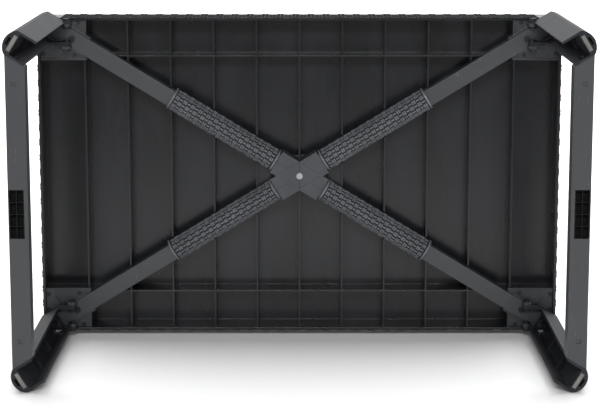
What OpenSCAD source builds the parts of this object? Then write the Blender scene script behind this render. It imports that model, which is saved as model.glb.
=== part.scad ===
// Low folding sawhorse: a ribbed deck on two end frames that fold flat against its underside.
// It stands on one long edge. +Z is up, the feet point along -Y and the work surface faces +Y.
// The origin is on the floor, at the middle of the bounding box.
// Each corner is modelled once, at the lower left: x runs inward along the deck, z runs inward
// across it, and the diagonal frame turns x onto the line from the corner to the middle.

/* [Deck] */
// Length of the deck
deck_w = 1000; // [900:10:1300]
// Width of the deck, upright as it stands on edge
deck_h = 612; // [540:4:800]
// Depth from the work surface to the free edge of the rim
rim_depth = 70; // [66:1:90]
// Thickness of the rim and the panel
wall = 5; // [4:0.5:6]
// Thickness of the ribs
rib_t = 3; // [2:0.5:5]
// Depth of the rim's edge in front of the ribs' edges
rib_inset = 15; // [13:1:17]
// Number of rib bays between the two corner cells
bays = 10; // [8:2:14]
// Number of planks that the work surface is grooved into
planks = 5; // [3:2:9]
// Length of the corner cells along the deck
corner_cell_w = 88.5; // [86:0.5:96]
// Width of the corner cells across the deck
corner_cell_h = 75; // [75:1:84]

/* [End frames] */
// Depth of the whole sawhorse, from the foot pads to the work surface
total_depth = 450; // [380:5:480]
// Width of a leg across its channel
leg_w = 48; // [44:1:52]
// Depth of a leg from its nose to its open side
leg_d = 51; // [48:1:54]
// Depth of the rounded nose
nose_d = 13; // [11:0.5:15]
// Thickness of a leg's two flanges
flange_t = 4; // [3:0.5:5]
// Sideways shift of a leg from the diagonal
leg_shift = 2; // [0:0.5:3]
// Width of an end rail
rail_w = 34.5; // [30:0.5:38]
// Depth of an end rail
rail_d = 32; // [24:1:40]

/* [Brace] */
// Width of a brace tube
tube_w = 31; // [28:0.5:32]
// Depth of a brace tube
tube_d = 26; // [22:0.5:27]
// Wall of a brace tube
tube_t = 2; // [1.5:0.25:3]
// Diameter of a grip
grip_dia = 42.7; // [42:0.1:44]
// Distance from the middle of the hub to the inner end of a grip
grip_start = 54; // [54:1:70]
// Length of a grip
grip_len = 234; // [160:2:250]

/* [Hinges and locks] */
// Diameter of a hinge pin
pin_dia = 8; // [6:0.5:9]
// Running clearance round a hinge pin
pin_gap = 0.1; // [0.05:0.01:0.1]
// Diameter of a lock button
button_dia = 10; // [8:0.5:11]
// Travel of a lock button
button_travel = 4; // [3:0.5:5]

/* [Hidden] */
$fn = 64;
eps = 0.01;
part_gap = 0.3;
fit_gap = 0.1;

// Corners as [side along X, side along Z]
LL = [-1, -1];
LR = [1, -1];
UL = [-1, 1];
UR = [1, 1];
CORNERS = [LL, LR, UL, UR];

// The diagonal of the deck, from a corner to the middle
diag_angle = atan(deck_h / deck_w);
diag_len = norm([deck_w, deck_h]) / 2;

// Planes along Y
y_top = total_depth / 2;
y_rim = y_top - rim_depth;
y_rib = y_rim + rib_inset;
y_panel = y_top - wall;
pad_proud = 2;
y_foot = -total_depth / 2 + pad_proud;
y_leg_top = y_rim - part_gap;
y_tube = y_rim + tube_d;
grip_y = y_rim + tube_d / 2;

// Ribs and grooves of the deck
rib_pitch = (deck_w - 2 * corner_cell_w) / bays;
groove = [4, 1.5];
groove_end = 30;

// Leg section
leg_half = leg_w / 2;
nose_r = (leg_half * leg_half + nose_d * nose_d) / (2 * nose_d);
back_s = 20;
slot_size = [5, 15];
slot_s = 5;
pad_size = [6.5, 30];
pad_s = 12;
pad_seat = 10;

// The noses are what it stands on, so they set how high the deck's edge is
edge_lift = nose_r - nose_r * sin(diag_angle) - leg_shift * cos(diag_angle);
z_mid = edge_lift + deck_h / 2;

// The trough that a brace tube lies in
lip_in = tube_w / 2 + part_gap;
lip_out = lip_in + 4;
trough_len = 108;
trough_t = 5;

// The trough's upper lip and its lower lip, at a distance x along the deck
function upper_lip(x) = x * tan(diag_angle) + lip_out / cos(diag_angle);
function lower_lip(x) = x * tan(diag_angle) - lip_out / cos(diag_angle);

// Hinge axis, inboard of the leg's open side and below the rim.
// The ears stand on the lips, and the leg's lugs lie against them.
lug_r = pin_dia / 2 + 4;
ear_r = lug_r + 1;
ear_t = 5.5;
ear_lap = 4.5;
hinge_x = leg_d * cos(diag_angle) + (leg_half - leg_shift) * sin(diag_angle) + 2;
hinge_y = y_rim - ear_r;
near_ear = [lower_lip(hinge_x) + ear_lap - ear_t, lower_lip(hinge_x) + ear_lap];
far_ear = [upper_lip(hinge_x) - ear_lap, upper_lip(hinge_x) - ear_lap + ear_t];
near_lug = [near_ear[0] - part_gap - 6.2, near_ear[0] - part_gap];
far_lug = [far_ear[0] - part_gap - 8.2, far_ear[0] - part_gap];
pin_head = [6.5, 3];
head_gap = 0.2;

// Bracket, with its screws as [x, z] beside the trough
plate_y = [y_rim + 7, y_rib];
screw_r = 2;
screw_len = 12;
boss_r = 5;
screw_spots = [
    [10, upper_lip(70) + 4], [70, upper_lip(70) + 6.5],
    [10, upper_lip(10) + 10.7], [78, 10]
];
plate_size = [93, upper_lip(70) + 16];
plate_edge = [2.5, 2];
web = [2.5, 4];

// Lock button, with its bore deep enough for its travel
lock_s = 27;
lock_block = [34, 13];
lock_y = y_rim + 5;
button_proud = button_travel + 0.5;
button_in = 14;

// Brace, measured along the diagonal from the corner
cap_s = max(36, (wall + part_gap + tube_w / 2 * cos(diag_angle)) / sin(diag_angle));
cap_t = 5;
cap_plug = 20;
tube_start = cap_s + cap_t;
tube_end = diag_len - 32;
tube_bolt_s = 78;
bolt_r = 3;
collar = [grip_dia / 2 + 1.25, 4];
hub_half = 23.5;
hub_reach = 52;
hub_y = [y_rim - 2, y_tube + 3];
hub_seam = 0.8;
hub_border = 3;
seat_y = [hub_y[1] + part_gap, hub_y[1] + part_gap + 4];
seat_half = 36;
hub_let_in = 1;
nut_t = 4;
bolt_tail = 2;

// Rail
rail_out = -2;
rail_t = 3;
rail_y = [y_foot + 1, y_foot + 1 + rail_d];
rail_solid = 60;
window = [26, 86];
window_x = rail_out + 1.5;
grille_lap = 4;
grille_cells = [2, 4];
grille_bar = 1.6;
grille_depth = 16;
clip_hole = 8;
clip_spot = [13, 80];
rail_screw_s = 32;
rail_screw_len = 12;

// ---- Placing ----

module flip(on, axis) {
    if (on) mirror(axis) children();
    else children();
}

// From the lower left corner's own frame to a corner of the deck
module at_corner(c) {
    translate([c[0] * deck_w / 2, 0, z_mid + c[1] * deck_h / 2])
        flip(c[0] > 0, [1, 0, 0])
            flip(c[1] > 0, [0, 0, 1])
                children();
}

// Turns x onto the diagonal and z square to it
module on_diagonal() {
    rotate([0, -diag_angle, 0]) children();
}

// Extrudes an outline drawn in x and z from one plane of y to another
module along_y(y0, y1) {
    translate([0, y1, 0]) rotate([90, 0, 0]) linear_extrude(y1 - y0) children();
}

module box(x, y, z) {
    translate([x[0], y[0], z[0]]) cube([x[1] - x[0], y[1] - y[0], z[1] - z[0]]);
}

// A cylinder along the diagonal, at a depth y
module bar_s(r, y, s0, s1) {
    translate([s0, y, 0]) rotate([0, 90, 0]) cylinder(r = r, h = s1 - s0);
}

// A cylinder along y, at x and z
module bar_y(r, x, z, y0, y1) {
    translate([x, y1, z]) rotate([90, 0, 0]) cylinder(r = r, h = y1 - y0);
}

// A cylinder along z on the hinge axis
module bar_hinge(r, z0, z1) {
    translate([hinge_x, hinge_y, z0]) cylinder(r = r, h = z1 - z0);
}

// ---- Deck ----

// The outer outline of a leg: a rounded nose and two straight sides
module nose_outline(depth, grow = 0) {
    translate([0, leg_shift]) {
        intersection() {
            translate([nose_r, 0]) circle(r = nose_r + grow);
            translate([-grow - 1, -leg_half - grow]) square([nose_r + grow + 1, leg_w + 2 * grow]);
        }
        if (depth + grow > nose_r)
            translate([nose_r - eps, -leg_half - grow]) square([depth + grow - nose_r + eps, leg_w + 2 * grow]);
    }
}

// The part of the nose that caps the deck's corner
module corner_outline(grow = 0) {
    intersection() {
        nose_outline(leg_d, grow);
        translate([-grow - 1, -leg_w]) square([back_s + 2 * grow + 1, 2 * leg_w]);
    }
}

// Everything that the ribs leave room for along one diagonal
module brace_room() {
    box([0, trough_len + 4], [y_rim - 20, y_tube + trough_t + 1], [-lip_out - 1, lip_out + 1]);
    box([trough_len, diag_len], [y_rim - 20, y_tube + 1.5], [-tube_w / 2 - 1.5, tube_w / 2 + 1.5]);
    bar_s(collar[0] + 1, grip_y, diag_len - grip_start - grip_len - 4, diag_len - grip_start + 4);
    box([diag_len - hub_reach - 2, diag_len + 30], [y_rim - 20, seat_y[0]], [-hub_half - 1, hub_half + 1]);
}

module ribs() {
    for (i = [0:bays])
        translate([(i - bays / 2) * rib_pitch, 0, 0])
            box([-rib_t / 2, rib_t / 2], [y_rib, y_panel + eps], [edge_lift + wall / 2, edge_lift + deck_h - wall / 2]);
    for (side = [-1, 1])
        translate([0, 0, z_mid + side * (deck_h / 2 - corner_cell_h)])
            box([-deck_w / 2 + wall / 2, deck_w / 2 - wall / 2], [y_rib, y_panel + eps], [-rib_t / 2, rib_t / 2]);
    for (c = CORNERS, p = screw_spots)
        at_corner(c) bar_y(boss_r, p[0], p[1], y_rib, y_panel + eps);
    // The seat that the hub is bolted to, a shelf from rib to rib that the hub is let into
    box([-rib_pitch, rib_pitch], [seat_y[0] - hub_let_in, seat_y[1]], [z_mid - seat_half, z_mid + seat_half]);
}

// The grooves that part the work surface into planks
module grooves() {
    for (i = [1:planks - 1])
        translate([0, 0, edge_lift + i * deck_h / planks])
            box([groove_end - deck_w / 2, deck_w / 2 - groove_end], [y_top - groove[1], y_top + 1],
                [-groove[0] / 2, groove[0] / 2]);
}

module deck() {
    color("#4d4e52")
    difference() {
        union() {
            difference() {
                box([-deck_w / 2, deck_w / 2], [y_rim, y_top], [edge_lift, edge_lift + deck_h]);
                box([-deck_w / 2 + wall, deck_w / 2 - wall], [y_rim - 1, y_panel],
                    [edge_lift + wall, edge_lift + deck_h - wall]);
            }
            difference() {
                ribs();
                for (c = CORNERS) at_corner(c) on_diagonal() brace_room();
                // Room for the hub's nut
                bar_y(2 * bolt_r + 1, 0, z_mid, seat_y[1], seat_y[1] + nut_t + bolt_tail + 1);
            }
        }
        grooves();
        bar_y(bolt_r + fit_gap, 0, z_mid, seat_y[0] - 1, seat_y[1] + 1);
        for (c = CORNERS) at_corner(c) {
            on_diagonal() along_y(y_rim - 1, y_top + 1) corner_outline(fit_gap);
            for (p = screw_spots) bar_y(screw_r, p[0], p[1], y_rib - 1, y_rib + screw_len);
        }
    }
}

module deck_screws() {
    color("#77797c")
    for (c = CORNERS, p = screw_spots) at_corner(c)
        difference() {
            union() {
                bar_y(screw_r, p[0], p[1], plate_y[0] - eps, y_rib + screw_len);
                bar_y(2 * screw_r, p[0], p[1], plate_y[0] - 2, plate_y[0]);
            }
            bar_y(0.6 * screw_r, p[0], p[1], plate_y[0] - 3, plate_y[0] - 1);
        }
}

// ---- Corner brackets ----

module ear(z) {
    bar_hinge(ear_r, z[0], z[1]);
    box([hinge_x - ear_r, hinge_x + ear_r], [hinge_y, plate_y[0] + 2], z);
}

module bracket_plate() {
    edge_y = [plate_y[0] - plate_edge[1], plate_y[1]];
    web_y = [plate_y[0] - web[1], plate_y[1]];
    box([wall + part_gap, plate_size[0]], plate_y, [wall + part_gap, plate_size[1]]);
    // A raised edge round the two free sides
    box([wall + part_gap, plate_size[0]], edge_y, [plate_size[1] - plate_edge[0], plate_size[1]]);
    box([plate_size[0] - plate_edge[0], plate_size[0]], edge_y, [wall + part_gap, plate_size[1]]);
    // Stiffening webs that stand square to the trough, one on each side of it
    intersection() {
        on_diagonal() {
            box([52, 52 + web[0]], web_y, [lip_out - 1, lip_out + 24]);
            box([66, 66 + web[0]], web_y, [-lip_out - 9, 1 - lip_out]);
        }
        inside_rim();
    }
    // A raised boss between the upper screws
    bar_y(4, 43, upper_lip(43) + 13.5, plate_y[0] - 1.5, plate_y[1]);
}

// The space inside the rim, at a corner
module inside_rim() {
    box([wall + part_gap, deck_w / 2], [0, y_top], [wall + part_gap, deck_h / 2]);
}

module bracket(c) {
    color("#595b5f")
    at_corner(c)
    difference() {
        union() {
            difference() {
                union() {
                    bracket_plate();
                    ear(near_ear);
                    ear(far_ear);
                    intersection() {
                        on_diagonal() box([back_s - 1, trough_len], [y_rim + 2, y_tube + trough_t], [-lip_out, lip_out]);
                        inside_rim();
                    }
                }
                // The trough that the brace tube lies in
                on_diagonal() box([back_s, trough_len + 60], [y_rim - 1, y_tube], [-lip_in, lip_in]);
            }
            // The corner block, cut flush with the deck's edges
            intersection() {
                on_diagonal() along_y(y_rim, y_top - 1) corner_outline();
                box([0, deck_w / 2], [0, y_top], [0, deck_h / 2]);
            }
            intersection() {
                on_diagonal() box([back_s - 1, lock_block[0]], [lock_y, y_tube + 1], [-lock_block[1], lock_block[1]]);
                inside_rim();
            }
        }
        bar_hinge(pin_dia / 2, near_ear[0] - 1, far_ear[1] + 1);
        for (p = screw_spots) bar_y(screw_r + fit_gap, p[0], p[1], plate_y[0] - 5, plate_y[1] + 1);
        on_diagonal() {
            bar_y(button_dia / 2 + fit_gap, lock_s, 0, lock_y - 1, lock_y + button_in + button_travel + part_gap);
            bar_y(bolt_r + fit_gap, tube_bolt_s, 0, y_tube - 1, y_tube + trough_t + 1);
        }
    }
}

module hinge_pin(z0, z1) {
    bar_hinge(pin_dia / 2, z0 - head_gap - eps, z1 + head_gap + eps);
    bar_hinge(pin_head[0], z0 - head_gap - pin_head[1], z0 - head_gap);
    bar_hinge(pin_head[0], z1 + head_gap, z1 + head_gap + pin_head[1]);
}

module hinge_pins(c) {
    color("#8b8d90")
    at_corner(c) {
        hinge_pin(near_lug[0], near_ear[1]);
        hinge_pin(far_lug[0], far_ear[1]);
    }
}

module lock_button(c) {
    color("#2c2d30")
    at_corner(c) on_diagonal()
        difference() {
            bar_y(button_dia / 2, lock_s, 0, lock_y - button_proud, lock_y + button_in);
            bar_y(button_dia / 4, lock_s, 0, lock_y - button_proud - 1, lock_y - button_proud + 1.2);
        }
}

// ---- Brace ----

// A box of the tube's section, grown by a margin, along the diagonal
module tube_box(s0, s1, grow) {
    box([s0, s1], [grip_y - tube_d / 2 - grow, grip_y + tube_d / 2 + grow], [-tube_w / 2 - grow, tube_w / 2 + grow]);
}

module brace(c) {
    color("#6a6c70")
    at_corner(c) on_diagonal()
        difference() {
            tube_box(tube_start, tube_end, 0);
            tube_box(tube_start - 1, tube_end + 1, -tube_t);
            bar_y(bolt_r + fit_gap, tube_bolt_s, 0, y_rim - 1, y_tube + 1);
        }
}

module brace_cap(c) {
    color("#34353a")
    at_corner(c) on_diagonal()
        difference() {
            union() {
                tube_box(cap_s, tube_start, 0);
                tube_box(tube_start - eps, tube_start + cap_plug, -tube_t - fit_gap);
            }
            tube_box(tube_start + 4, tube_start + cap_plug + 1, -tube_t - 3);
        }
}

module grip(c) {
    s0 = diag_len - grip_start - grip_len;
    s1 = diag_len - grip_start;
    color("#85888c")
    at_corner(c) on_diagonal()
        difference() {
            union() {
                bar_s(grip_dia / 2, grip_y, s0, s1);
                bar_s(collar[0], grip_y, s0, s0 + collar[1]);
                bar_s(collar[0], grip_y, s1 - collar[1], s1);
            }
            tube_box(s0 - 1, s1 + 1, fit_gap);
        }
}

module brace_bolts() {
    color("#8b8d90")
    for (c = CORNERS) at_corner(c) on_diagonal()
        difference() {
            union() {
                bar_y(bolt_r, tube_bolt_s, 0, y_rim - eps, y_tube + trough_t + nut_t + bolt_tail);
                bar_y(2 * bolt_r, tube_bolt_s, 0, y_rim - 3, y_rim);
                bar_y(2 * bolt_r, tube_bolt_s, 0, y_tube + trough_t, y_tube + trough_t + nut_t);
            }
            along_y(y_rim - 4, y_rim - 1.5) translate([tube_bolt_s, 0]) circle(r = bolt_r, $fn = 6);
        }
}

// One half of the hub: two arms that meet at a seam in the middle
module hub(side) {
    color("#75777b")
    difference() {
        intersection() {
            union()
                for (up = [-1, 1]) at_corner([side, up]) on_diagonal()
                    difference() {
                        box([diag_len - hub_reach, diag_len + hub_half], hub_y, [-hub_half, hub_half]);
                        // A shallow field inside a raised border, and a line down the middle
                        box([diag_len - hub_reach - 1, diag_len + 60], [hub_y[0] - 1, hub_y[0] + 1.2],
                            [-hub_half + hub_border, hub_half - hub_border]);
                        box([diag_len - hub_reach - 1, diag_len - 6], [hub_y[0] - 1, hub_y[0] + 2], [-0.6, 0.6]);
                    }
            translate([side > 0 ? hub_seam / 2 : -deck_w / 2 - hub_seam / 2, hub_y[0] - 5, 0])
                cube([deck_w / 2, hub_y[1] - hub_y[0] + 10, deck_h + 60]);
        }
        for (up = [-1, 1]) at_corner([side, up]) on_diagonal()
            tube_box(diag_len - hub_reach - 1, tube_end + part_gap, fit_gap);
        bar_y(bolt_r + fit_gap, 0, z_mid, hub_y[0] - 1, hub_y[1] + 1);
    }
}

module hub_bolt() {
    color("#8b8d90")
    difference() {
        union() {
            bar_y(bolt_r, 0, z_mid, hub_y[0] - 1, seat_y[1] + nut_t + bolt_tail);
            bar_y(2 * bolt_r, 0, z_mid, hub_y[0] - 1.5, hub_y[0] + 1.2);
            bar_y(2 * bolt_r, 0, z_mid, seat_y[1], seat_y[1] + nut_t);
        }
        along_y(hub_y[0] - 3, hub_y[0] - 0.3) translate([0, z_mid]) circle(r = bolt_r, $fn = 6);
    }
}

// ---- End frames ----

module leg(c) {
    color("#56585c")
    at_corner(c)
    difference() {
        union() {
            on_diagonal() along_y(y_foot, y_leg_top)
                difference() {
                    nose_outline(leg_d);
                    translate([back_s, leg_shift - leg_half + flange_t])
                        square([leg_d, leg_w - 2 * flange_t]);
                }
            box([hinge_x - 12, hinge_x], [hinge_y - lug_r, hinge_y + lug_r], near_lug);
            bar_hinge(lug_r, near_lug[0], near_lug[1]);
            intersection() {
                box([back_s, hinge_x], [hinge_y - lug_r, hinge_y + lug_r], far_lug);
                on_diagonal() along_y(0, y_rim) nose_outline(leg_d + leg_half);
            }
            bar_hinge(lug_r, far_lug[0], far_lug[1]);
            // Cross webs that stiffen the channel
            on_diagonal()
                for (f = [0.3, 0.62])
                    translate([0, y_foot + f * (y_leg_top - y_foot), 0])
                        box([back_s - 1, back_s + 9], [0, 3], [leg_shift - leg_half + 1, leg_shift + leg_half - 1]);
        }
        // Room for the near ear, over the whole fold
        box([hinge_x - ear_r - 1.5, hinge_x + 20], [hinge_y - ear_r - 1.5, y_rim], [near_lug[1], near_ear[1] + 4]);
        bar_hinge(pin_dia / 2 + pin_gap, near_lug[0] - 1, far_lug[1] + 1);
        // Room for the near pin's head
        bar_hinge(pin_head[0] + 0.5, near_lug[0] - head_gap - pin_head[1] - 0.5, near_lug[0] - head_gap / 2);
        on_diagonal() {
            along_y(y_foot - 1, y_foot + 14)
                translate([slot_s, leg_shift - slot_size[1] / 2]) square(slot_size);
            along_y(y_foot - 1, y_foot + pad_seat)
                translate([pad_s, leg_shift - pad_size[1] / 2]) square(pad_size);
            translate([rail_screw_s, (rail_y[0] + rail_y[1]) / 2, leg_shift + leg_half - flange_t - 1])
                cylinder(r = bolt_r + fit_gap, h = flange_t + 2);
        }
    }
}

module foot_pad(c) {
    color("#b3b2ab")
    at_corner(c) on_diagonal() along_y(y_foot - pad_proud, y_foot + pad_seat)
        translate([pad_s, leg_shift - pad_size[1] / 2]) square(pad_size);
}

module rail_screw_hole(r) {
    on_diagonal() translate([rail_screw_s, (rail_y[0] + rail_y[1]) / 2, leg_shift + leg_half])
        cylinder(r = r, h = rail_screw_len);
}

module rail(side) {
    edge = side * deck_w / 2;
    color("#74767a")
    difference() {
        translate([edge, 0, 0]) flip(side > 0, [1, 0, 0])
            difference() {
                box([rail_out, rail_out + rail_w], rail_y, [edge_lift, edge_lift + deck_h]);
                // The hollow side faces the deck
                box([rail_out + rail_t, rail_out + rail_w - rail_t], [rail_y[0] + rail_t, rail_y[1] + 1],
                    [edge_lift + rail_solid, edge_lift + deck_h - rail_solid]);
                translate([0, 0, z_mid]) {
                    box([window_x, window_x + window[0]], [rail_y[0] - 1, rail_y[0] + rail_t + 1],
                        [-window[1] / 2, window[1] / 2]);
                    for (up = [-1, 1])
                        translate([clip_spot[0], 0, up * (deck_h / 2 - clip_spot[1])])
                            box([-clip_hole / 2, clip_hole / 2], [rail_y[0] - 1, rail_y[0] + rail_t - 1],
                                [-clip_hole / 2, clip_hole / 2]);
                }
            }
        for (up = [-1, 1]) at_corner([side, up]) {
            // The ends are cut to the slant of the legs' sides
            on_diagonal() box([-100, 200], [rail_y[0] - 1, rail_y[1] + 1], [-200, leg_shift + leg_half]);
            rail_screw_hole(bolt_r);
        }
    }
}

module rail_grille(side) {
    core = [window_x + fit_gap, window_x + window[0] - fit_gap];
    cell = [for (k = [0, 1]) (window[k] - 2 * fit_gap - grille_bar) / grille_cells[k] - grille_bar];
    color("#1f2022")
    translate([side * deck_w / 2, 0, z_mid]) flip(side > 0, [1, 0, 0])
        difference() {
            union() {
                box(core, [rail_y[0] + 1.2, rail_y[0] + rail_t + 1], [-window[1] / 2 + fit_gap, window[1] / 2 - fit_gap]);
                box([rail_out + rail_t + fit_gap, rail_out + rail_w - rail_t - fit_gap],
                    [rail_y[0] + rail_t, rail_y[0] + grille_depth], [-window[1] / 2 - grille_lap, window[1] / 2 + grille_lap]);
            }
            // Deep pockets, closed at the back
            for (i = [0:grille_cells[0] - 1], j = [0:grille_cells[1] - 1])
                translate([core[0] + grille_bar + i * (cell[0] + grille_bar), rail_y[0] - 1,
                        grille_bar - window[1] / 2 + fit_gap + j * (cell[1] + grille_bar)])
                    cube([cell[0], grille_depth - 1, cell[1]]);
        }
}

module rail_screws(side) {
    head_z = leg_shift + leg_half - flange_t;
    color("#8b8d90")
    for (up = [-1, 1]) at_corner([side, up]) on_diagonal()
        translate([rail_screw_s, (rail_y[0] + rail_y[1]) / 2, 0])
            difference() {
                union() {
                    translate([0, 0, head_z - eps]) cylinder(r = bolt_r, h = flange_t + rail_screw_len);
                    translate([0, 0, head_z - 3]) cylinder(r = 2 * bolt_r, h = 3);
                }
                translate([0, 0, head_z - 4]) cylinder(r = bolt_r, h = 2.5, $fn = 6);
            }
}

deck();
deck_screws();
bracket(LL);  // lower_left_bracket
bracket(LR);  // lower_right_bracket
bracket(UL);  // upper_left_bracket
bracket(UR);  // upper_right_bracket
hinge_pins(LL);  // lower_left_hinge_pins
hinge_pins(LR);  // lower_right_hinge_pins
hinge_pins(UL);  // upper_left_hinge_pins
hinge_pins(UR);  // upper_right_hinge_pins
lock_button(LL);  // lower_left_lock_button
lock_button(LR);  // lower_right_lock_button
lock_button(UL);  // upper_left_lock_button
lock_button(UR);  // upper_right_lock_button
brace(LL);  // lower_left_brace
brace(LR);  // lower_right_brace
brace(UL);  // upper_left_brace
brace(UR);  // upper_right_brace
brace_cap(LL);  // lower_left_brace_cap
brace_cap(LR);  // lower_right_brace_cap
brace_cap(UL);  // upper_left_brace_cap
brace_cap(UR);  // upper_right_brace_cap
grip(LL);  // lower_left_grip
grip(LR);  // lower_right_grip
grip(UL);  // upper_left_grip
grip(UR);  // upper_right_grip
brace_bolts();
hub(-1);  // left_hub
hub(1);  // right_hub
hub_bolt();
leg(LL);  // lower_left_leg
leg(LR);  // lower_right_leg
leg(UL);  // upper_left_leg
leg(UR);  // upper_right_leg
foot_pad(LL);  // lower_left_foot_pad
foot_pad(LR);  // lower_right_foot_pad
foot_pad(UL);  // upper_left_foot_pad
foot_pad(UR);  // upper_right_foot_pad
rail(-1);  // left_rail
rail(1);  // right_rail
rail_grille(-1);  // left_rail_grille
rail_grille(1);  // right_rail_grille
rail_screws(-1);  // left_rail_screws
rail_screws(1);  // right_rail_screws
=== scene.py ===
"""Looks of a low folding sawhorse that stands on one long edge of its deck.

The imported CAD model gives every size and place. This script dresses its nodes in worked finishes, and
models what CAD leaves plain: the woven texture of the four hand grips and of the deck's edges.
Lengths are metres in the CAD frame: +Z up, +X along the deck, and the feet point along -Y.
"""

import logging
import math
from dataclasses import dataclass
from enum import Enum
from typing import ClassVar

import bmesh
import bpy
from mathutils import Matrix, Vector


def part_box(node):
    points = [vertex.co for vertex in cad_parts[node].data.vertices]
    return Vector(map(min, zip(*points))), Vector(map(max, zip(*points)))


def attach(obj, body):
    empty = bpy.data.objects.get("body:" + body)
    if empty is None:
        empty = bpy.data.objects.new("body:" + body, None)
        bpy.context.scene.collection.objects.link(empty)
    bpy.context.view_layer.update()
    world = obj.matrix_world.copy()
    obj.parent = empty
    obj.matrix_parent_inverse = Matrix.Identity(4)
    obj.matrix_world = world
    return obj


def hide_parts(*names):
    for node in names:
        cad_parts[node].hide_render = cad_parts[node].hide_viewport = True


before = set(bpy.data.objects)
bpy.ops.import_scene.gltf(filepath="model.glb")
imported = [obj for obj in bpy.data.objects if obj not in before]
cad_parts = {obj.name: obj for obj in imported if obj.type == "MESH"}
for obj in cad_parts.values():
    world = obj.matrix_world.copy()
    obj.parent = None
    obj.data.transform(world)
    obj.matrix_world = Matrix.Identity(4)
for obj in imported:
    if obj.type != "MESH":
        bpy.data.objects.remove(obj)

MM = 0.001
DECK_BODY = "deck"
SMOOTH_DEG = 35.0  # edges flatter than this are shaded smooth
WELD = 0.01 * MM  # points nearer than this are one

log = logging.getLogger("sawhorse")


# ---- Names ----


class Corner(Enum):
    """A corner of the deck, with its side along X and along Z."""

    LOWER_LEFT = ("lower_left", -1, -1)
    LOWER_RIGHT = ("lower_right", 1, -1)
    UPPER_LEFT = ("upper_left", -1, 1)
    UPPER_RIGHT = ("upper_right", 1, 1)

    def node(self, part: str) -> str:
        """The name of this corner's node of a kind."""
        return f"{self.value[0]}_{part}"

    @property
    def side(self) -> Vector:
        """The signs along X and Z, as a vector."""
        return Vector((self.value[1], 0.0, self.value[2]))


class Edge(Enum):
    """An outer edge face of the deck, with the way it faces."""

    LEFT = ("left", (-1.0, 0.0, 0.0))
    RIGHT = ("right", (1.0, 0.0, 0.0))
    LOWER = ("lower", (0.0, 0.0, -1.0))
    UPPER = ("upper", (0.0, 0.0, 1.0))

    @property
    def label(self) -> str:
        """The edge's name."""
        return self.value[0]

    @property
    def facing(self) -> Vector:
        """The way the edge face looks."""
        return Vector(self.value[1])


# ---- Node helpers ----


def linear(hex_colour: str) -> tuple[float, float, float, float]:
    """Turns an sRGB hex colour into linear values.

    Args:
        hex_colour: Six hex digits, with or without a leading hash.

    Returns:
        Red, green, blue and an alpha of one.
    """
    digits = hex_colour.lstrip("#")
    channels = [int(digits[i : i + 2], 16) / 255 for i in (0, 2, 4)]
    red, green, blue = (c / 12.92 if c <= 0.04045 else ((c + 0.055) / 1.055) ** 2.4 for c in channels)
    return red, green, blue, 1.0


def add_node(
    tree: bpy.types.NodeTree,
    kind: str,
    values: dict[str, object] | None = None,
    links: dict[str, bpy.types.NodeSocket] | None = None,
    **settings: object,
) -> bpy.types.Node:
    """Adds one shader node.

    Args:
        tree: The material's node tree.
        kind: The node's type name.
        values: Input names and the values they hold.
        links: Input names and the output sockets that feed them.
        settings: Properties of the node itself.

    Returns:
        The new node.
    """
    node = tree.nodes.new(kind)
    for name, value in settings.items():
        setattr(node, name, value)
    for name, value in (values or {}).items():
        node.inputs[name].default_value = value
    for name, socket in (links or {}).items():
        tree.links.new(socket, node.inputs[name])
    return node


def new_material(name: str) -> tuple[bpy.types.Material, bpy.types.NodeTree, bpy.types.Node]:
    """Starts a material.

    Args:
        name: The material's name.

    Returns:
        The material, its node tree and its shader.
    """
    material = bpy.data.materials.new(name)
    material.use_nodes = True
    tree = material.node_tree
    return material, tree, tree.nodes["Principled BSDF"]


# ---- Finishes ----


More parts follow.
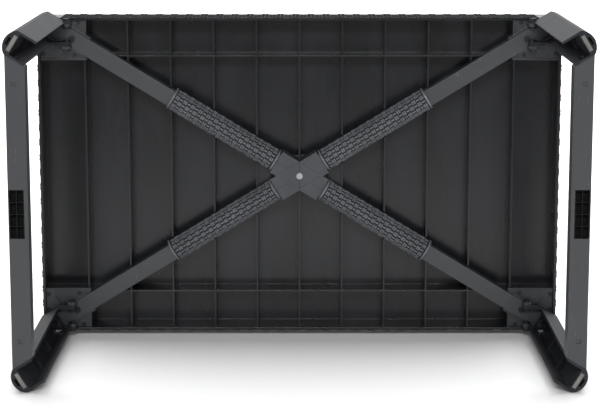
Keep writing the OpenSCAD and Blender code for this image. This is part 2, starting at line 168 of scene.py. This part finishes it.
@dataclass(frozen=True)
class MouldedPlastic:
    """Injection-moulded plastic or rubber: a deep tone with cloudy flow marks, fine grain and soft edges."""

    name: str
    base: str
    cloud: str
    roughness: float
    roughness_spread: float = 0.08
    cloud_mm: float = 90.0
    flow_stretch: float = 0.25
    grain_mm: float = 1.6
    grain_depth_mm: float = 0.05
    edge_mm: float = 0.9
    # A lighter tone painted along edges, partly wear and partly a painted highlight, and how much of it shows
    edge_wear_and_highlight_tone: str = "77797c"
    edge_wear_and_highlight_share: float = 0.35
    ior: float = 1.49
    sheen_kept: float = 0.5

    CLOUD_RANGE: ClassVar[tuple[float, float]] = (0.35, 0.68)  # the noise values that span both tones
    # How alike the rounded and the true normal are where the lighter edge, partly wear and partly a painted
    # highlight, starts, and where it is full
    EDGE_WEAR_AND_HIGHLIGHT_RANGE: ClassVar[tuple[float, float]] = (0.99, 0.8)

    def build(self) -> bpy.types.Material:
        """Makes the material.

        Returns:
            A material whose patterns lie on Object coordinates.
        """
        material, tree, shader = new_material(self.name)
        shader.inputs["IOR"].default_value = self.ior
        # A rough mould texture shades itself, so less of the grazing sheen is kept
        shader.inputs["Specular IOR Level"].default_value = self.sheen_kept
        coords = add_node(tree, "ShaderNodeTexCoord").outputs["Object"]

        # Flow marks run down the moulding, so the cloud pattern is drawn out along Z
        stretched = add_node(
            tree, "ShaderNodeMapping", {"Scale": (1.0, 1.0, self.flow_stretch)}, {"Vector": coords}
        ).outputs["Vector"]
        cloud = add_node(
            tree, "ShaderNodeTexNoise", {"Scale": 1 / (self.cloud_mm * MM), "Detail": 4.0, "Roughness": 0.55},
            {"Vector": stretched},
        ).outputs["Fac"]
        tone = add_node(
            tree, "ShaderNodeMix", {"A": linear(self.base), "B": linear(self.cloud)}, None,
            data_type="RGBA",
        )
        spread = add_node(
            tree, "ShaderNodeMapRange",
            {"From Min": self.CLOUD_RANGE[0], "From Max": self.CLOUD_RANGE[1]}, {"Value": cloud},
        ).outputs["Result"]
        tree.links.new(spread, tone.inputs["Factor"])

        # Edges are painted lighter, partly as wear and partly as a painted highlight: the rounded normal
        # leaves the true one only beside an edge
        rounded = add_node(
            tree, "ShaderNodeBevel", {"Radius": self.edge_mm * MM}, None, samples=6
        ).outputs["Normal"]
        true_normal = add_node(tree, "ShaderNodeNewGeometry").outputs["Normal"]
        likeness = add_node(tree, "ShaderNodeVectorMath", None, None, operation="DOT_PRODUCT")
        tree.links.new(rounded, likeness.inputs[0])
        tree.links.new(true_normal, likeness.inputs[1])
        edge = add_node(
            tree, "ShaderNodeMapRange",
            {"From Min": self.EDGE_WEAR_AND_HIGHLIGHT_RANGE[0], "From Max": self.EDGE_WEAR_AND_HIGHLIGHT_RANGE[1], "To Max": self.edge_wear_and_highlight_share},
            {"Value": likeness.outputs["Value"]},
        ).outputs["Result"]
        worn_and_highlit = add_node(
            tree, "ShaderNodeMix", {"B": linear(self.edge_wear_and_highlight_tone)},
            {"Factor": edge, "A": tone.outputs["Result"]}, data_type="RGBA",
        )
        tree.links.new(worn_and_highlit.outputs["Result"], shader.inputs["Base Color"])

        shine = add_node(
            tree, "ShaderNodeMapRange",
            {
                "To Min": self.roughness - self.roughness_spread,
                "To Max": self.roughness + self.roughness_spread,
            },
            {"Value": cloud},
        ).outputs["Result"]
        tree.links.new(shine, shader.inputs["Roughness"])

        # The spark grain of the mould is about 0.3 mm, drawn coarser so that it shows
        grain = add_node(
            tree, "ShaderNodeTexNoise", {"Scale": 1 / (self.grain_mm * MM), "Detail": 2.0}, {"Vector": coords}
        ).outputs["Fac"]
        bump = add_node(
            tree, "ShaderNodeBump", {"Strength": 1.0, "Distance": self.grain_depth_mm * MM},
            {"Height": grain, "Normal": rounded},
        ).outputs["Normal"]
        tree.links.new(bump, shader.inputs["Normal"])
        return material


@dataclass(frozen=True)
class PowderCoat:
    """Polyester powder coat on rolled steel: an even satin tone with a faint orange-peel surface."""

    name: str
    base: str
    shade: str
    roughness: float
    roughness_spread: tuple[float, float] = (-0.05, 0.07)
    patch_mm: float = 160.0
    peel_mm: float = 2.2
    peel_depth_mm: float = 0.03
    edge_mm: float = 1.2
    ior: float = 1.5
    scuff: str = "8d9093"
    scuff_mm: float = 4.0
    scuff_stretch: float = 0.12
    scuff_share: float = 0.3

    SCUFF_RANGE: ClassVar[tuple[float, float]] = (0.66, 0.78)  # only the noise's peaks rub through

    def build(self) -> bpy.types.Material:
        """Makes the material.

        Returns:
            A material whose patterns lie on Object coordinates.
        """
        material, tree, shader = new_material(self.name)
        shader.inputs["IOR"].default_value = self.ior
        coords = add_node(tree, "ShaderNodeTexCoord").outputs["Object"]
        patch = add_node(
            tree, "ShaderNodeTexNoise", {"Scale": 1 / (self.patch_mm * MM), "Detail": 3.0}, {"Vector": coords}
        ).outputs["Fac"]
        tone = add_node(
            tree, "ShaderNodeMix", {"A": linear(self.base), "B": linear(self.shade)}, {"Factor": patch},
            data_type="RGBA",
        ).outputs["Result"]

        # A few thin rub marks, drawn out along Z
        rub_space = add_node(
            tree, "ShaderNodeMapping", {"Scale": (1.0, 1.0, self.scuff_stretch)}, {"Vector": coords}
        ).outputs["Vector"]
        rub = add_node(
            tree, "ShaderNodeTexNoise", {"Scale": 1 / (self.scuff_mm * MM), "Detail": 3.0, "Roughness": 0.6},
            {"Vector": rub_space},
        ).outputs["Fac"]
        rub_mask = add_node(
            tree, "ShaderNodeMapRange",
            {"From Min": self.SCUFF_RANGE[0], "From Max": self.SCUFF_RANGE[1], "To Max": self.scuff_share},
            {"Value": rub},
        ).outputs["Result"]
        scuffed = add_node(
            tree, "ShaderNodeMix", {"B": linear(self.scuff)}, {"Factor": rub_mask, "A": tone},
            data_type="RGBA",
        ).outputs["Result"]
        tree.links.new(scuffed, shader.inputs["Base Color"])
        shine = add_node(
            tree, "ShaderNodeMapRange",
            {
                "To Min": self.roughness + self.roughness_spread[0],
                "To Max": self.roughness + self.roughness_spread[1],
            },
            {"Value": patch},
        ).outputs["Result"]
        tree.links.new(shine, shader.inputs["Roughness"])
        rounded = add_node(tree, "ShaderNodeBevel", {"Radius": self.edge_mm * MM}, None, samples=6)
        peel = add_node(
            tree, "ShaderNodeTexNoise", {"Scale": 1 / (self.peel_mm * MM), "Detail": 1.0}, {"Vector": coords}
        ).outputs["Fac"]
        bump = add_node(
            tree, "ShaderNodeBump", {"Strength": 1.0, "Distance": self.peel_depth_mm * MM},
            {"Height": peel, "Normal": rounded.outputs["Normal"]},
        ).outputs["Normal"]
        tree.links.new(bump, shader.inputs["Normal"])
        return material


@dataclass(frozen=True)
class ZincPlate:
    """Zinc or black oxide on turned steel: a cool metal with blotchy colour and turned marks."""

    name: str
    base: str
    bloom: str
    roughness: float
    roughness_spread: tuple[float, float] = (-0.1, 0.15)
    blotch_mm: float = 5.0
    turn_mm: float = 0.8
    turn_depth_mm: float = 0.02
    edge_mm: float = 0.4

    def build(self) -> bpy.types.Material:
        """Makes the material.

        Returns:
            A metal whose blotches and turned marks lie on Object coordinates.
        """
        material, tree, shader = new_material(self.name)
        shader.inputs["Metallic"].default_value = 1.0
        coords = add_node(tree, "ShaderNodeTexCoord").outputs["Object"]
        blotch = add_node(
            tree, "ShaderNodeTexNoise", {"Scale": 1 / (self.blotch_mm * MM), "Detail": 4.0},
            {"Vector": coords},
        ).outputs["Fac"]
        tone = add_node(
            tree, "ShaderNodeMix", {"A": linear(self.base), "B": linear(self.bloom)}, {"Factor": blotch},
            data_type="RGBA",
        ).outputs["Result"]
        tree.links.new(tone, shader.inputs["Base Color"])
        shine = add_node(
            tree, "ShaderNodeMapRange",
            {
                "To Min": self.roughness + self.roughness_spread[0],
                "To Max": self.roughness + self.roughness_spread[1],
            },
            {"Value": blotch},
        ).outputs["Result"]
        tree.links.new(shine, shader.inputs["Roughness"])
        marks = add_node(
            tree, "ShaderNodeTexNoise", {"Scale": 1 / (self.turn_mm * MM), "Detail": 1.0}, {"Vector": coords}
        ).outputs["Fac"]
        rounded = add_node(tree, "ShaderNodeBevel", {"Radius": self.edge_mm * MM}, None, samples=4)
        bump = add_node(
            tree, "ShaderNodeBump", {"Strength": 1.0, "Distance": self.turn_depth_mm * MM},
            {"Height": marks, "Normal": rounded.outputs["Normal"]},
        ).outputs["Normal"]
        tree.links.new(bump, shader.inputs["Normal"])
        return material


class Finish(Enum):
    """The finishes of the sawhorse, each made once."""

    # Glossy moulded polypropylene: near black, with a broad pale sheen where the ribs catch the light, and a
    # painted highlight along the rib edges
    DECK = MouldedPlastic(
        "deck_gloss_polypropylene", "151618", "1f2024", 0.2, 0.07, edge_wear_and_highlight_tone="5c5e61", ior=1.42
    )
    # Satin moulded polypropylene: a softer, slightly lighter grey that sets the brackets off from the deck
    BRACKET = MouldedPlastic("bracket_satin_polypropylene", "27282b", "303236", 0.34, cloud_mm=40)
    # Satin moulded polypropylene: a dark grey with little sheen, so the legs read as broad flat shapes
    LEG = MouldedPlastic(
        "leg_satin_polypropylene", "232427", "2b2c30", 0.58, cloud_mm=60, ior=1.36, sheen_kept=0.25
    )
    # Moulded rubber: a chalky warm grey, dull and grainy, against the dark legs
    LEG_PAD = MouldedPlastic(
        "foot_pad_rubber", "62615d", "7a7974", 0.75, 0.05, cloud_mm=12, grain_depth_mm=0.12, edge_wear_and_highlight_share=0.1
    )
    # Polypropylene strands: a light grey that is partly a painted highlight, each also catching a small
    # bright highlight
    GRIP = MouldedPlastic(
        "grip_woven_painted_light_polypropylene", "5c5e63", "6a6c72", 0.26, 0.06, cloud_mm=50, edge_mm=0.5, edge_wear_and_highlight_share=0.2
    )
    # The same polypropylene between the strands, painted dull and dark as a painted shade in the grooves
    GRIP_PAINTED_SHADE = MouldedPlastic(
        "grip_ground_painted_shade_polypropylene", "101113", "17181a", 0.62, 0.06, cloud_mm=50, edge_mm=0.5, ior=1.38
    )
    # Polypropylene from a coarse mould: a matt black edge whose weave shows by its shadows only
    WEAVE = MouldedPlastic(
        "deck_edge_woven_polypropylene", "0e0f10", "151617", 0.6, 0.06, cloud_mm=40, edge_mm=0.5,
        edge_wear_and_highlight_share=0.1, ior=1.3, sheen_kept=0.1,
    )
    # Satin moulded polypropylene: the lightest grey of the frame, with a broad soft highlight
    HUB = MouldedPlastic("hub_satin_polypropylene", "34363a", "3e4044", 0.32, cloud_mm=40)
    # Moulded polyethylene: a black plug, waxy, that closes each tube
    CAP = MouldedPlastic("end_cap_polyethylene", "151618", "1c1d20", 0.42, cloud_mm=20)
    # Moulded acetal: a slick black button with a tight highlight
    BUTTON = MouldedPlastic("button_acetal", "101113", "17181a", 0.3, cloud_mm=10)
    # Moulded ABS, matt: near black, partly the mesh's own black and partly a painted shade so that the closed
    # pockets look like an open window
    GRILLE = MouldedPlastic(
        "window_insert_abs", "050506", "08090a", 0.8, cloud_mm=10, edge_wear_and_highlight_share=0.1, ior=1.3
    )
    # Polyester powder coat on steel tube: an even charcoal with a long satin streak and faint rubs
    TUBE = PowderCoat("brace_powder_coat", "2f3134", "36383c", 0.38)
    # The same coat on the pressed rails, a little duller
    RAIL = PowderCoat("rail_powder_coat", "303235", "36383b", 0.45)
    # Black oxide on turned steel: dark screw heads with a metal glint
    DARK_STEEL = ZincPlate("black_oxide_steel", "2a2b2e", "3a3b3f", 0.42)
    # Zinc plate on turned steel: one bright, blotchy bolt at the middle of the hub
    STEEL = ZincPlate("zinc_plated_steel", "8f9295", "b3b6b9", 0.35)


class Palette:
    """Builds each finish the first time it is asked for."""

    def __init__(self) -> None:
        """Starts with nothing built."""
        self.built: dict[Finish, bpy.types.Material] = {}

    def get(self, finish: Finish) -> bpy.types.Material:
        """Gives a finish's material.

        Args:
            finish: The finish wanted.

        Returns:
            Its material, the same one each time.
        """
        if finish not in self.built:
            self.built[finish] = finish.value.build()
        return self.built[finish]

    def dress(self, thing: bpy.types.Object, finish: Finish) -> None:
        """Gives an object one finish all over.

        Args:
            thing: A CAD node or a piece.
            finish: The finish it takes.
        """
        material = self.get(finish)
        if not thing.material_slots:
            thing.data.materials.append(material)
        for slot in thing.material_slots:
            slot.material = material


# ---- Mesh helpers ----


def to_piece(name: str, bm: bmesh.types.BMesh, place: Matrix) -> bpy.types.Object:
    """Turns a bmesh into a piece whose object sits at the origin.

    Args:
        name: The piece's name.
        bm: The shape, in its own frame. It is freed.
        place: Where the shape goes.

    Returns:
        The piece, linked to the scene.
    """
    mesh = bpy.data.meshes.new(name)
    bm.to_mesh(mesh)
    bm.free()
    mesh.transform(place)
    mesh.update()
    mesh.shade_smooth()
    mesh.set_sharp_from_angle(angle=math.radians(SMOOTH_DEG))
    piece = bpy.data.objects.new(name, mesh)
    bpy.context.scene.collection.objects.link(piece)
    return piece


def merge(bm: bmesh.types.BMesh, part: bmesh.types.BMesh) -> None:
    """Adds one mesh to another.

    Args:
        bm: The mesh that grows.
        part: The mesh that joins it. It is freed.
    """
    mesh = bpy.data.meshes.new("part")
    part.to_mesh(mesh)
    part.free()
    bm.from_mesh(mesh)
    bpy.data.meshes.remove(mesh)


def add_bar(bm: bmesh.types.BMesh, centre: Vector, size: Vector, rounding: float) -> None:
    """Adds a bar whose front, at -Y, has softened edges.

    Args:
        bm: The mesh it joins.
        centre: The bar's middle.
        size: Its three sides.
        rounding: How far the edges are cut back.
    """
    place = Matrix.Translation(centre) @ Matrix.Diagonal((*size, 1.0))
    made = bmesh.ops.create_cube(bm, size=1.0, matrix=place)["verts"]
    # Each edge once: two front corners share some of them
    edges = list(dict.fromkeys(e for v in made if v.co.y < centre.y for e in v.link_edges))
    bmesh.ops.bevel(
        bm, geom=edges, offset=rounding, offset_type="OFFSET", segments=1, profile=0.5,
        affect="EDGES", material=-1,
    )


@dataclass(frozen=True)
class Weave:
    """A moulded basket weave: pairs of strands across it, and single strands along it, in turn."""

    cell_along: float
    cell_across: float
    sunk: float
    single_share: float
    rounding: float = 0.5 * MM

    # Shares of a cell
    PAIR_OFFSET: ClassVar[float] = 0.24
    PAIR_WIDTH: ClassVar[float] = 0.36
    PAIR_LENGTH: ClassVar[float] = 0.84
    SINGLE_LENGTH: ClassVar[float] = 0.8
    SINGLE_WIDTH: ClassVar[float] = 0.34

    def add_cell(self, bm: bmesh.types.BMesh, along: float, paired: bool, rise: float) -> None:
        """Adds one cell of the weave, facing -Y, on the plane y = 0.

        Args:
            bm: The mesh it joins.
            along: The cell's middle along X.
            paired: Whether it shows the pair of strands that run across.
            rise: How far this cell stands proud.
        """
        thick = rise + self.sunk
        middle = (self.sunk - rise) / 2
        if paired:
            for way in (-1, 1):
                add_bar(
                    bm, Vector((along + way * self.PAIR_OFFSET * self.cell_along, middle, 0.0)),
                    Vector((self.PAIR_WIDTH * self.cell_along, thick, self.PAIR_LENGTH * self.cell_across)),
                    self.rounding,
                )
        else:
            add_bar(
                bm, Vector((along, middle, 0.0)),
                Vector((self.SINGLE_LENGTH * self.cell_along, thick, self.SINGLE_WIDTH * self.cell_across)),
                self.rounding,
            )

    def row(self, count: int, first_paired: bool, rise: float) -> bmesh.types.BMesh:
        """Makes one row of cells, centred on the origin.

        Args:
            count: How many cells the row has.
            first_paired: Whether the row starts with a pair.
            rise: How far the row's pairs stand proud; its singles stand at a share of that.

        Returns:
            The row as a new mesh.
        """
        bm = bmesh.new()
        for i in range(count):
            paired = (i % 2 == 0) == first_paired
            along = (i - (count - 1) / 2) * self.cell_along
            self.add_cell(bm, along, paired, rise if paired else self.single_share * rise)
        return bm


# ---- Grips ----


@dataclass
class WovenGrip:
    """A hand grip on one brace tube: a sleeve with a collar at each end and a woven surface."""

    corner: Corner
    hub: Vector
    angle: float
    cell: float = 8.3 * MM
    rows: int = 14
    strand_height: float = 1.9 * MM
    strand_sunk: float = 0.7 * MM
    single_share: float = 0.45
    collar_len: float = 4.0 * MM
    collar_rise: float = 1.3 * MM
    collar_round: float = 0.9 * MM
    foot_slope: float = 0.6 * MM
    end_room: float = 1.5 * MM
    bore: float = 12.0 * MM
    sides: int = 56

    @property
    def outward(self) -> Vector:
        """The way from the hub to this grip's corner."""
        side = self.corner.side
        return Vector((side.x * math.cos(self.angle), 0.0, side.z * math.sin(self.angle)))

    def measure(self) -> tuple[float, float, float]:
        """Reads the CAD grip.

        Returns:
            How far its inner and outer ends are from the hub, and the radius of its collars.
        """
        points = [v.co - self.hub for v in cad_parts[self.corner.node("grip")].data.vertices]
        along = [p.dot(self.outward) for p in points]
        radii = [(p - self.outward * s).length for p, s in zip(points, along)]
        return min(along), max(along), max(radii)

    def sleeve(self, length: float, collar: float, body: float) -> bmesh.types.BMesh:
        """Makes the turned sleeve, along +Z from the origin.

        Args:
            length: Its length.
            collar: The radius of the collars.
            body: The radius between them.

        Returns:
            The sleeve, with its weave still to come.
        """
        step = self.collar_round
        half_profile = [
            (self.bore, 0.0), (collar - step, 0.0), (collar, step), (collar, self.collar_len - step),
            (collar - step, self.collar_len), (body, self.collar_len + self.foot_slope),
        ]
        profile = half_profile + [(r, length - z) for r, z in reversed(half_profile)]
        bm = bmesh.new()
        verts = [bm.verts.new((r, 0.0, z)) for r, z in profile]
        edges = [bm.edges.new((verts[i - 1], verts[i])) for i in range(len(verts))]
        bmesh.ops.spin(
            bm, geom=verts + edges, cent=(0, 0, 0), axis=(0, 0, 1), dvec=(0, 0, 0), angle=math.tau,
            steps=self.sides, use_merge=True,
        )
        bmesh.ops.remove_doubles(bm, verts=bm.verts, dist=WELD)
        bmesh.ops.recalc_face_normals(bm, faces=bm.faces)
        # Slot 0 is the ground between the collars, and slot 1 the collars and strands
        for face in bm.faces:
            height = face.calc_center_median().z
            face.material_index = 0 if self.collar_len < height < length - self.collar_len else 1
        return bm

    def add_weave(self, bm: bmesh.types.BMesh, length: float, body: float) -> None:
        """Wraps the weave round the sleeve.

        Args:
            bm: The sleeve, along +Z.
            length: Its length.
            body: The radius that the weave stands on.
        """
        clear = length - 2 * self.collar_len - 2 * self.end_room
        count = 2 * int(clear / self.cell / 2)
        weave = Weave(clear / count, math.tau * body / self.rows, self.strand_sunk, self.single_share)
        for turn in range(self.rows):
            row = weave.row(count, turn % 2 == 0, self.strand_height)
            stand_up = Matrix.Rotation(-math.pi / 2, 4, "Y")
            out = Matrix.Translation((0.0, -body, length / 2))
            round_axis = Matrix.Rotation(math.tau * turn / self.rows, 4, "Z")
            bmesh.ops.transform(row, matrix=round_axis @ out @ stand_up, verts=row.verts)
            for face in row.faces:
                face.material_index = 1
            merge(bm, row)

    def build(self, palette: Palette) -> bpy.types.Object:
        """Makes the grip and puts it on its tube.

        Args:
            palette: Where its finish comes from.

        Returns:
            The finished piece.
        """
        start, end, collar = self.measure()
        length = end - start
        body = collar - self.collar_rise - self.strand_height
        bm = self.sleeve(length, collar, body)
        self.add_weave(bm, length, body)
        turn = Vector((0, 0, 1)).rotation_difference(self.outward).to_matrix().to_4x4()
        place = Matrix.Translation(self.hub + self.outward * start) @ turn
        piece = to_piece(self.corner.node("grip_sleeve"), bm, place)
        # The strands take the lighter copy with its painted highlight, and the ground between them the dull
        # dark copy with its painted shade
        for finish in (Finish.GRIP_PAINTED_SHADE, Finish.GRIP):
            piece.data.materials.append(palette.get(finish))
        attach(piece, DECK_BODY)
        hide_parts(self.corner.node("grip"))
        return piece


# ---- Deck edges ----


@dataclass
class WovenEdge:
    """The woven texture moulded into one outer edge face of the deck."""

    edge: Edge
    corner_room: float = 46 * MM
    cell: float = 14.2 * MM
    rows: int = 5
    strand_height: float = 1.6 * MM
    strand_sunk: float = 0.5 * MM
    single_share: float = 0.2
    margin: float = 1.2 * MM
    ground_rise: float = 0.2 * MM
    ground_thick: float = 0.5 * MM
    ground_round: float = 0.1 * MM

    def build(self, palette: Palette) -> bpy.types.Object:
        """Makes the texture and lays it on the edge.

        Args:
            palette: Where its finish comes from.

        Returns:
            The finished piece.
        """
        low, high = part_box("deck")
        middle = (low + high) / 2
        facing = self.edge.facing
        upright = abs(facing.x) > 0.5
        run = (high.z - low.z if upright else high.x - low.x) - 2 * self.corner_room
        depth = high.y - low.y - 2 * self.margin
        count = 2 * int(run / self.cell / 2)
        across = depth / self.rows
        weave = Weave(run / count, across, self.strand_sunk, self.single_share)
        bm = bmesh.new()
        # A dull ground that the strands stand on
        ground_middle = Vector((0.0, self.ground_thick / 2 - self.ground_rise, 0.0))
        add_bar(bm, ground_middle, Vector((run, self.ground_thick, depth)), self.ground_round)
        for i in range(self.rows):
            row = weave.row(count, i % 2 == 0, self.strand_height)
            bmesh.ops.translate(row, vec=(0.0, 0.0, (i - (self.rows - 1) / 2) * across), verts=row.verts)
            merge(bm, row)
        along = Vector((0, 0, 1)) if upright else Vector((1, 0, 0))
        inward = -facing
        turn = Matrix((along, inward, along.cross(inward))).transposed().to_4x4()
        reach = (high.x - low.x if upright else high.z - low.z) / 2
        place = Matrix.Translation(middle + facing * reach) @ turn
        piece = to_piece(f"{self.edge.label}_edge_weave", bm, place)
        palette.dress(piece, Finish.WEAVE)
        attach(piece, DECK_BODY)
        return piece


# ---- The CAD nodes ----


@dataclass(frozen=True)
class NodeDresser:
    """Gives each carried-over CAD node the finish of its kind."""

    palette: Palette

    KINDS: ClassVar[tuple[tuple[str, Finish], ...]] = (
        ("deck_screws", Finish.DARK_STEEL),
        ("rail_screws", Finish.DARK_STEEL),
        ("brace_bolts", Finish.DARK_STEEL),
        ("hinge_pins", Finish.DARK_STEEL),
        ("hub_bolt", Finish.STEEL),
        ("lock_button", Finish.BUTTON),
        ("brace_cap", Finish.CAP),
        ("bracket", Finish.BRACKET),
        ("brace", Finish.TUBE),
        ("rail_grille", Finish.GRILLE),
        ("rail", Finish.RAIL),
        ("foot_pad", Finish.LEG_PAD),
        ("grip", Finish.GRIP),
        ("leg", Finish.LEG),
        ("hub", Finish.HUB),
        ("deck", Finish.DECK),
    )

    def run(self) -> None:
        """Dresses every node."""
        for name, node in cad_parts.items():
            finish = next(found for ending, found in self.KINDS if name.endswith(ending))
            self.palette.dress(node, finish)
            log.info("%s takes %s", name, finish.value.name)


# ---- Studio ----


@dataclass(frozen=True)
class Softbox:
    """A large soft light."""

    name: str
    place: tuple[float, float, float]
    aim: tuple[float, float, float]
    size: tuple[float, float]
    watts: float
    spread_deg: float = 180.0

    def build(self) -> bpy.types.Object:
        """Hangs the light.

        Returns:
            The light object, which the camera doesn't see.
        """
        data = bpy.data.lights.new(self.name, "AREA")
        data.shape = "RECTANGLE"
        data.size, data.size_y = self.size
        data.energy = self.watts
        data.spread = math.radians(self.spread_deg)
        light = bpy.data.objects.new(self.name, data)
        light.location = self.place
        light.rotation_euler = (Vector(self.aim) - Vector(self.place)).to_track_quat("-Z", "Y").to_euler()
        light.visible_camera = False
        bpy.context.scene.collection.objects.link(light)
        return light


@dataclass(frozen=True)
class Studio:
    """A pale floor and wall, soft light from above, and the camera."""

    paper_tone: str = "f4f4f4"
    floor_half: float = 40.0
    floor_drop: float = 0.2 * MM
    floor_roughness: float = 0.6
    floor_sheen: float = 0.2
    wall_radius: float = 22.0
    wall_height: float = 7.0
    wall_sunk: float = 0.2
    wall_sides: int = 96
    wall_glow: float = 0.55
    ambient: float = 0.07
    camera_place: tuple[float, float, float] = (0.001, -3.286, 0.935)
    pitch_down_deg: float = 9.55
    picture_widths: float = 3.02
    sensor_mm: float = 36.0
    shift_up: float = -0.08

    def floor(self) -> None:
        """Lays the floor, just under what stands on it."""
        bm = bmesh.new()
        bmesh.ops.create_grid(bm, x_segments=1, y_segments=1, size=self.floor_half)
        piece = to_piece("studio_floor", bm, Matrix.Translation((0.0, 0.0, -self.floor_drop)))
        material, _, shader = new_material("studio_paper")
        shader.inputs["Base Color"].default_value = linear(self.paper_tone)
        shader.inputs["Roughness"].default_value = self.floor_roughness
        shader.inputs["Specular IOR Level"].default_value = self.floor_sheen
        piece.data.materials.append(material)

    def wall(self) -> None:
        """Stands a pale round wall far away, so that low views don't look past the floor."""
        bm = bmesh.new()
        bmesh.ops.create_cone(
            bm, cap_ends=False, segments=self.wall_sides, radius1=self.wall_radius,
            radius2=self.wall_radius, depth=self.wall_height,
        )
        middle = Matrix.Translation((0.0, 0.0, self.wall_height / 2 - self.wall_sunk))
        piece = to_piece("studio_wall", bm, middle)
        material, _, shader = new_material("studio_wall_paint")
        shader.inputs["Base Color"].default_value = linear(self.paper_tone)
        shader.inputs["Roughness"].default_value = 1.0
        shader.inputs["Emission Color"].default_value = linear("ffffff")
        shader.inputs["Emission Strength"].default_value = self.wall_glow
        piece.data.materials.append(material)

    def lights(self) -> None:
        """Hangs the softboxes and sets the ambient light."""
        for box in (
            Softbox("overhead_softbox", (0.0, 4.6, 5.0), (0.0, 4.4, 0.0), (14.0, 8.4), 1500.0),
            Softbox("front_fill", (0.0, -4.4, 2.7), (0.0, 0.0, 0.45), (2.2, 0.8), 14.5, 50.0),
        ):
            box.build()
        world = bpy.data.worlds.new("studio_air")
        world.use_nodes = True
        background = world.node_tree.nodes["Background"]
        background.inputs["Color"].default_value = linear("f4f6f9")
        background.inputs["Strength"].default_value = self.ambient
        bpy.context.scene.world = world
        bpy.context.scene.view_settings.view_transform = "Standard"

    def camera(self) -> None:
        """Sets up the camera in front of the underside, a little above the deck."""
        data = bpy.data.cameras.new("studio_camera")
        data.sensor_width = self.sensor_mm
        data.lens = self.picture_widths * self.sensor_mm
        data.shift_y = self.shift_up
        camera = bpy.data.objects.new("studio_camera", data)
        camera.location = self.camera_place
        camera.rotation_euler = (math.radians(90.0 - self.pitch_down_deg), 0.0, 0.0)
        bpy.context.scene.collection.objects.link(camera)
        bpy.context.scene.camera = camera

    def build(self) -> None:
        """Sets up the floor, the wall, the lights and the camera."""
        self.floor()
        self.wall()
        self.lights()
        self.camera()


# ---- The whole ----


def brace_axis() -> tuple[Vector, float]:
    """Finds where the braces cross.

    Returns:
        The middle of the hub on the braces' axis, and the braces' angle above the deck's length.
    """
    deck_low, deck_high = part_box("deck")
    tube_low, tube_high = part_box("lower_left_brace")
    middle = (deck_low + deck_high) / 2
    hub = Vector((middle.x, (tube_low.y + tube_high.y) / 2, middle.z))
    size = deck_high - deck_low
    return hub, math.atan2(size.z, size.x)


def main() -> None:
    """Builds the sawhorse's looks and the studio around it."""
    logging.basicConfig(level=logging.INFO, format="%(name)s: %(message)s")
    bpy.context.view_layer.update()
    palette = Palette()
    NodeDresser(palette).run()
    hub, angle = brace_axis()
    for corner in Corner:
        piece = WovenGrip(corner, hub, angle).build(palette)
        log.info("%s: %d faces", piece.name, len(piece.data.polygons))
    for edge in Edge:
        piece = WovenEdge(edge).build(palette)
        log.info("%s: %d faces", piece.name, len(piece.data.polygons))
    Studio().build()


if __name__ == "__main__":
    main()
